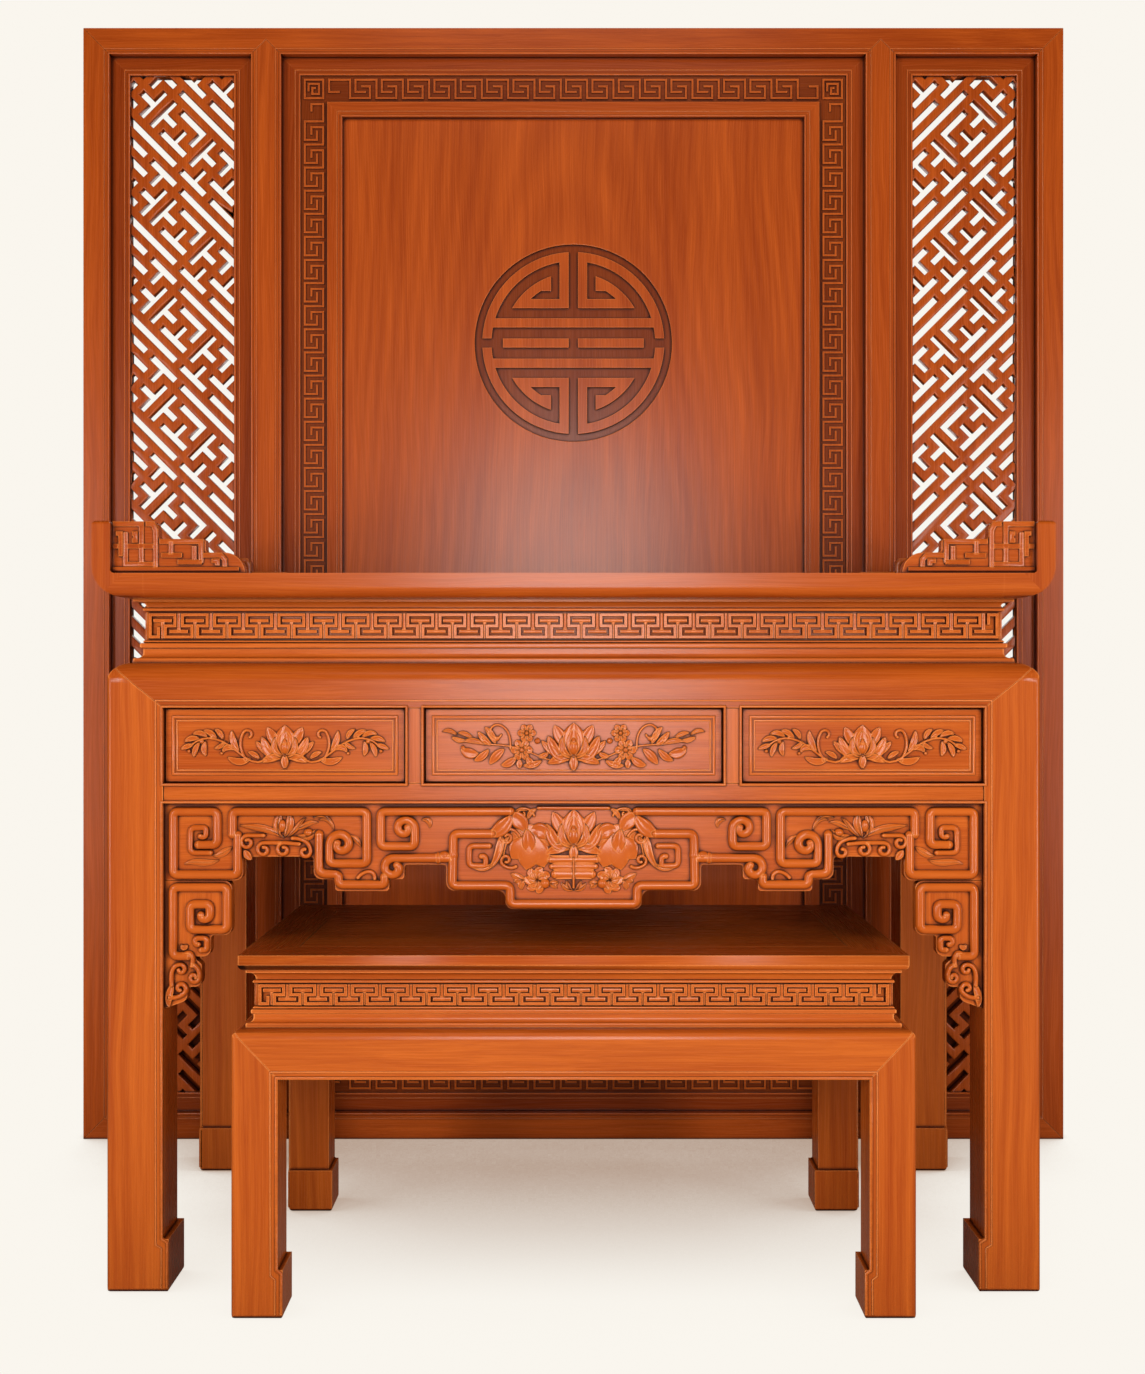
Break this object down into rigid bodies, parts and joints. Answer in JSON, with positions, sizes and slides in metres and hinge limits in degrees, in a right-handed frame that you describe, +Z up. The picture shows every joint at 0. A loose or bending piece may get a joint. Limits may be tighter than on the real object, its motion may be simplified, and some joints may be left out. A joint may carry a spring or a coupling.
{
  "type": "ancestral altar set",
  "caption": "Carved hardwood ancestral altar: a table with upturned ends, drawers and a scrolled apron, a sliding offering table under it and a tall fret-lattice back screen.",
  "frame": {"origin": "on the floor, in the middle of the whole set's footprint", "axes": "+Z up; +Y from the front of the tables towards the back screen; +X to the viewer's right"},
  "size_m": [2.32, 1.112, 2.63],
  "materials": {
    "lacquered_hardwood": "clear gloss lacquer over red-brown hardwood",
    "screen_hardwood": "clear satin lacquer over red-brown hardwood",
    "drawer_lining": "plain planed wood"
  },
  "bodies": {
    "altar": {"altar_apron": "lacquered_hardwood", "altar_back_rail": "lacquered_hardwood", "altar_base_moulding": "lacquered_hardwood", "altar_case_panels": "lacquered_hardwood", "altar_drawer_posts": "lacquered_hardwood", "altar_drawer_rail": "lacquered_hardwood", "altar_drawer_runners": "drawer_lining", "altar_frieze": "lacquered_hardwood", "altar_front_rail": "lacquered_hardwood", "altar_left_spandrel": "lacquered_hardwood", "altar_leg_back_left": "lacquered_hardwood", "altar_leg_back_right": "lacquered_hardwood", "altar_leg_front_left": "lacquered_hardwood", "altar_leg_front_right": "lacquered_hardwood", "altar_lower_rails": "lacquered_hardwood", "altar_neck_moulding": "lacquered_hardwood", "altar_right_spandrel": "lacquered_hardwood", "altar_side_aprons": "lacquered_hardwood", "altar_side_rails": "lacquered_hardwood", "altar_top_back": "lacquered_hardwood", "altar_top_battens": "drawer_lining", "altar_top_front": "lacquered_hardwood", "altar_top_left_end": "lacquered_hardwood", "altar_top_panel": "lacquered_hardwood", "altar_top_right_end": "lacquered_hardwood", "screen_band_frame": "screen_hardwood", "screen_battens": "drawer_lining", "screen_bottom_rail": "screen_hardwood", "screen_fret_border": "screen_hardwood", "screen_lattice_frames": "screen_hardwood", "screen_left_lattice": "screen_hardwood", "screen_left_stile": "screen_hardwood", "screen_medallion": "screen_hardwood", "screen_mullions": "screen_hardwood", "screen_panel": "screen_hardwood", "screen_panel_moulding": "screen_hardwood", "screen_right_lattice": "screen_hardwood", "screen_right_stile": "screen_hardwood", "screen_top_rail": "screen_hardwood", "scroll_bracket_front_left": "lacquered_hardwood", "scroll_bracket_front_right": "lacquered_hardwood", "scroll_brackets_back": "lacquered_hardwood"},
    "offering_table": {"offering_base_moulding": "lacquered_hardwood", "offering_frieze": "lacquered_hardwood", "offering_leg_back_left": "lacquered_hardwood", "offering_leg_back_right": "lacquered_hardwood", "offering_leg_front_left": "lacquered_hardwood", "offering_leg_front_right": "lacquered_hardwood", "offering_neck_moulding": "lacquered_hardwood", "offering_rails": "lacquered_hardwood", "offering_top_battens": "drawer_lining", "offering_top_frame": "lacquered_hardwood", "offering_top_panel": "lacquered_hardwood"},
    "drawer_left": {"drawer_left_box": "drawer_lining", "drawer_left_front": "lacquered_hardwood"},
    "drawer_center": {"drawer_center_box": "drawer_lining", "drawer_center_front": "lacquered_hardwood"},
    "drawer_right": {"drawer_right_box": "drawer_lining", "drawer_right_front": "lacquered_hardwood"}
  },
  "joints": [
    {"name": "offering_table_slide", "type": "slide", "parent": "altar", "child": "offering_table", "axis": [0, -1, 0], "range_m": [-0.117, 0.7]},
    {"name": "drawer_left_slide", "type": "slide", "parent": "altar", "child": "drawer_left", "axis": [0, -1, 0], "range_m": [0, 0.45]},
    {"name": "drawer_center_slide", "type": "slide", "parent": "altar", "child": "drawer_center", "axis": [0, -1, 0], "range_m": [0, 0.45]},
    {"name": "drawer_right_slide", "type": "slide", "parent": "altar", "child": "drawer_right", "axis": [0, -1, 0], "range_m": [0, 0.45]}
  ]
}
